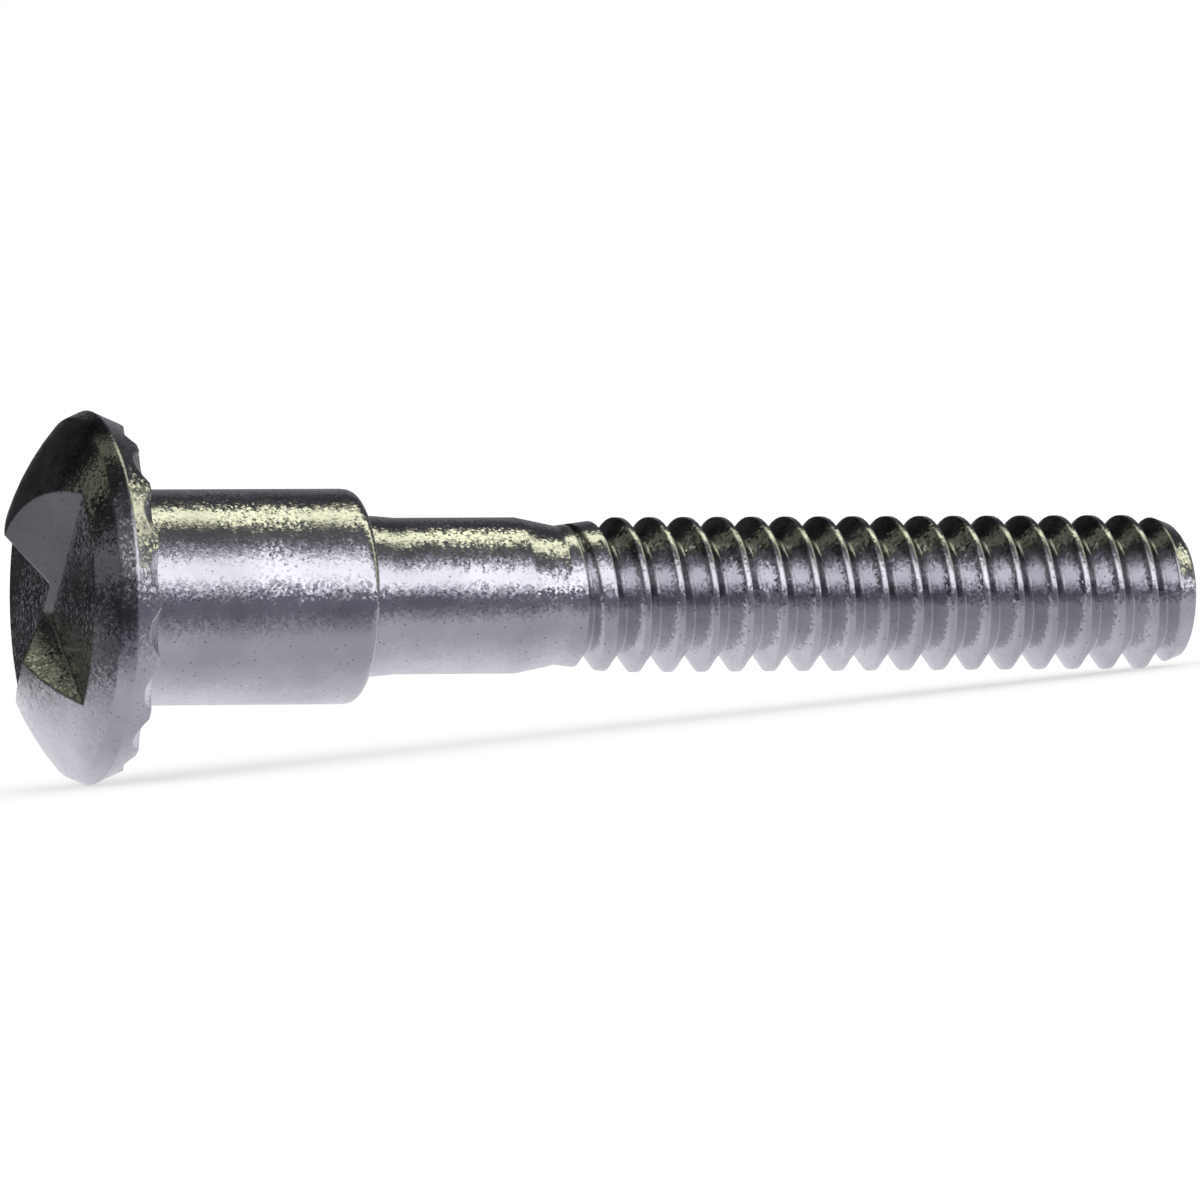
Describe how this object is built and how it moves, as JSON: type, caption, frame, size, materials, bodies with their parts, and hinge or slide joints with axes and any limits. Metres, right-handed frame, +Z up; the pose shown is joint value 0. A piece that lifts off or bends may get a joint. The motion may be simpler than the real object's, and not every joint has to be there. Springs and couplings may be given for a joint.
{
  "type": "shoulder bolt",
  "caption": "Domed security bolt with a one-way drive recess, scalloped rim, plain shoulder and shank, and a rolled thread.",
  "frame": {"origin": "on the ground under the middle of the bolt's bounding box", "axes": "+X from the head towards the tip, +Z up; the axis slopes down 5.58 degrees to the tip because the bolt lies on its rim and thread"},
  "size_m": [0.0362, 0.011, 0.0109],
  "materials": {
    "zinc_plated_steel": "bright zinc plate over cold-formed steel"
  },
  "bodies": {
    "root": {"shoulder_bolt": "zinc_plated_steel"}
  },
  "joints": []
}
